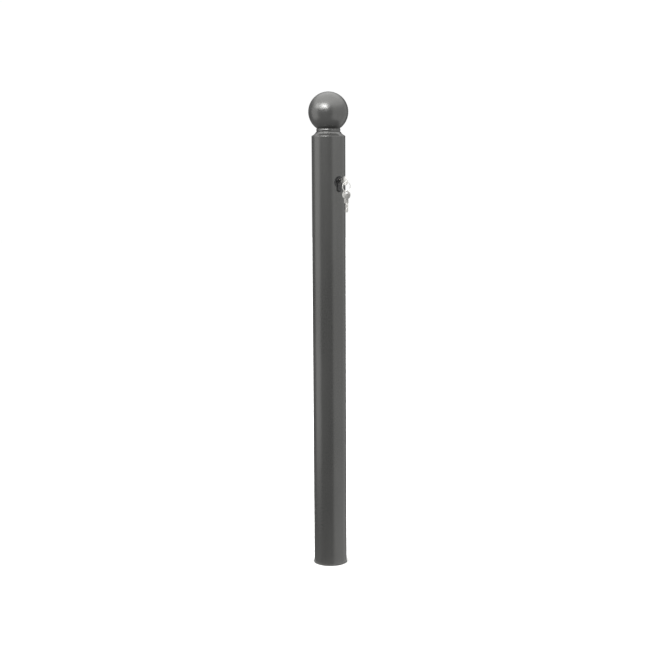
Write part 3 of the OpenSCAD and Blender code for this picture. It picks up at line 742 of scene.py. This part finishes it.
# collar at paving level; radii from the post's axis
collar = {"around": 192, "rim": 2.5 * mm, "edge": 0.8 * mm, "soft": 0.3 * mm, "round": 0.5 * mm,
          "play": 0.02 * mm, "bore": 42.0 * mm, "throat": 39.0 * mm, "spigot": 47.0 * mm,
          "flange": 10 * mm, "flangeEdge": 0.6 * mm, "screwCircle": 64.0 * mm,
          "screwHole": 4.5 * mm, "screwCutter": 14 * mm, "quarters": np.radians((45, 135, 225, 315))}
sealRing = {"clear": 1.35 * mm, "edge": 0.4 * mm, "foot": 0.2 * mm, "notchR": 2.0 * mm,
            "notchOut": 2.1 * mm, "notchCutter": 7 * mm}
wiper = {"groove": 3 * mm, "floor": 3 * mm, "lipFoot": 1.3 * mm, "lipThick": 0.9 * mm,
         "lean": 0.1 * mm, "edge": 0.3 * mm}
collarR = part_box("seal_ring")[1].x + collar["rim"]


def aroundPost(angle, reach, z):
    # a point at that angle and distance from the post's axis
    return Vector((reach * math.cos(angle), reach * math.sin(angle), z))


def makeCollar():
    # spun outline of collar, flange and spigot, then four screw holes
    low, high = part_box("guide_head")
    flangeTop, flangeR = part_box("head_washers")[0].z, high.x
    flangeLow = flangeTop - collar["flange"]
    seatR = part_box("wiper_seal")[1].x + collar["play"]
    sealZ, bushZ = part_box("wiper_seal")[0].z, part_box("upper_bush")[0].z
    soft, edge = collar["soft"], collar["flangeEdge"]
    corners = [(collarR, flangeTop, collar["round"]), (collarR, high.z, collar["edge"]),
               (seatR, high.z, soft), (seatR, sealZ, 0), (collar["bore"], sealZ, 0),
               (collar["bore"], bushZ, 0), (collar["throat"], bushZ, soft),
               (collar["throat"], low.z, soft), (collar["spigot"], low.z, collar["round"]),
               (collar["spigot"], flangeLow, 0), (flangeR, flangeLow, edge),
               (flangeR, flangeTop, edge)]
    piece = spun("collarHead", rounded(corners), collar["around"])
    middleZ = (flangeTop + flangeLow) / 2
    holes = [bar("headCutter", aroundPost(a, collar["screwCircle"], middleZ), (0, 0, 1),
                 collar["screwHole"], collar["screwCutter"], 32) for a in collar["quarters"]]
    fit(cut(piece, *holes), "guide_head")


def makeSealRing():
    # spun rectangle with rounded corners; four round notches in the outer top edge
    low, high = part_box("seal_ring")
    outer, inner = high.x, tubeR + sealRing["clear"]
    corners = [(outer, low.z, sealRing["foot"]), (outer, high.z, sealRing["edge"]),
               (inner, high.z, sealRing["edge"]), (inner, low.z, sealRing["foot"])]
    piece = spun("sealRing", rounded(corners), collar["around"])
    middleR = outer + sealRing["notchOut"]
    notches = [bar("notchCutter", aroundPost(a, middleR, high.z), aroundPost(a, 1, 0),
                   sealRing["notchR"], sealRing["notchCutter"]) for a in collar["quarters"]]
    fit(cut(piece, *notches), "seal_ring")


def makeWiper():
    # spun outline of a rubber ring with a lip that leans on the post
    low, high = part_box("wiper_seal")
    lip, groove = tubeR + wiper["lean"], tubeR + wiper["groove"]
    floorZ, edge = low.z + wiper["floor"], wiper["edge"]
    corners = [(high.x, low.z, edge), (high.x, high.z, edge), (groove, high.z, edge),
               (groove, floorZ, 0.5 * mm), (tubeR + wiper["lipFoot"], floorZ, edge),
               (tubeR + wiper["lipThick"], high.z, 0.25 * mm), (lip, high.z - 0.1 * mm, 0.2 * mm),
               (lip, low.z, 0.2 * mm)]
    fit(spun("wiperSeal", rounded(corners, 4), collar["around"]), "wiper_seal")


makeCollar()
makeSealRing()
makeWiper()
print("collar made")

stage = {"reach": 9.0, "gap": 0.15 * mm, "sunk": 0.3 * mm, "rings": 24, "around": 128,
         "floor": (0.90, 0.90, 0.90, 1), "roughness": 0.9}
room = {"ceiling": 2.25, "walls": 0.16, "below": 0.25, "seen": 1.02}
lamps = {  # degrees round from the camera, degrees up, metres away, width, height, watts, height aimed at
    "leftScreen": (-86, 0, 2.6, 2.2, 3.9, 31.0, 1.45),
    "rightScreen": (53, 0, 2.6, 2.8, 4.6, 33.5, 0.9),
    "rightRear": (108, 0, 2.6, 2.8, 4.6, 31.0, 0.9),
    "keyLamp": (-23, 32, 2.35, 0.75, 0.42, 15.8, 1.05),
    "lampHalo": (-27, 31, 2.4, 1.9, 1.0, 52.0, 1.05),
    "sideWindow": (-66, 27, 2.4, 1.3, 0.8, 12.5, 1.05)}
view = {"azimuth": -38.0, "away": 2.931, "height": 1.0155, "down": 8.93, "roll": 0.30, "side": -0.0009,
        "lens": 70.52}


def makeFloor():
    # pale paving: rings of points from the collar's edge outwards, each further by the same factor
    reach = np.geomspace(collarR + stage["gap"], stage["reach"], stage["rings"])[:, None]
    angles = np.linspace(0, 2 * math.pi, stage["around"], endpoint=False)[None]
    height = 0 * reach * angles - stage["sunk"]
    rows = np.stack([reach * np.cos(angles), reach * np.sin(angles), height], -1)
    floor = skin("paving", rows, closeRows=False)
    if floor.data.polygons[0].normal.z < 0:
        floor.data.flip_normals()
    plain = {"Roughness": stage["roughness"], "Base Color": stage["floor"]}
    floor.data.materials.append(finish("palePaving", plain, lambda tree, place: {}))
    floor.visible_diffuse = False
    floor.visible_glossy = False


def makeWorld():
    # white where the camera looks past the object; a dim room with a bright ceiling lights it
    world = bpy.data.worlds.new("studio")
    bpy.context.scene.world = world
    world.use_nodes = True
    tree = world.node_tree
    tree.nodes.clear()
    up = along(add(tree, "ShaderNodeTexCoord"), 2)
    tone = (up.between(0.3, 0.85) * room["ceiling"] + up.between(-0.1, -0.6) * room["below"]
            + room["walls"])
    lit = add(tree, "ShaderNodeBackground", None, {"Color": (1, 1, 1, 1), "Strength": tone})
    white = add(tree, "ShaderNodeBackground", None, {"Color": (1, 1, 1, 1), "Strength": room["seen"]})
    both = add(tree, "ShaderNodeMixShader", None, {0: add(tree, "ShaderNodeLightPath"), 1: lit, 2: white})
    tree.links.new(both.socket, tree.nodes.new("ShaderNodeOutputWorld").inputs["Surface"])


def makeLamp(name, azimuth, elevation, away, width, height, power, aim):
    # a rectangular screen that faces the post's axis at the height aimed at
    lamp = bpy.data.lights.new(name, "AREA")
    lamp.shape, lamp.size, lamp.size_y, lamp.energy = "RECTANGLE", width, height, power
    holder = bpy.data.objects.new(name, lamp)
    bpy.context.scene.collection.objects.link(holder)
    a, e = math.radians(view["azimuth"] + azimuth), math.radians(elevation)
    back = Vector((math.sin(a) * math.cos(e), -math.cos(a) * math.cos(e), math.sin(e)))
    holder.location = Vector((0, 0, aim)) + back * away
    holder.rotation_mode = "QUATERNION"
    holder.rotation_quaternion = back.to_track_quat("Z", "Y")
    holder.visible_camera = False


def makeCamera():
    # looks along +Y, tilted down and rolled, and is then turned round the post's axis
    data = bpy.data.cameras.new("viewer")
    data.sensor_width, data.lens = 36.0, view["lens"]
    data.clip_start, data.clip_end = 0.05, 60
    camera = bpy.data.objects.new("viewer", data)
    bpy.context.scene.collection.objects.link(camera)
    tilt, roll = math.radians(view["down"]), math.radians(view["roll"])
    right, down = Vector((1, 0, 0)), Vector((0, -math.sin(tilt), -math.cos(tilt)))
    ahead = Vector((0, math.cos(tilt), -math.sin(tilt)))
    across = right * math.cos(roll) + down * math.sin(roll)
    below = down * math.cos(roll) - right * math.sin(roll)
    turned = Matrix((across, -below, -ahead)).transposed().to_4x4()
    turned.translation = Vector((view["side"], -view["away"], view["height"]))
    camera.matrix_world = Matrix.Rotation(math.radians(view["azimuth"]), 4, "Z") @ turned
    bpy.context.scene.camera = camera


makeFloor()
makeWorld()
for lampName, setting in lamps.items():
    makeLamp(lampName, *setting)
makeCamera()
bpy.context.scene.view_settings.view_transform = "Standard"
print("stage, lights and camera set")
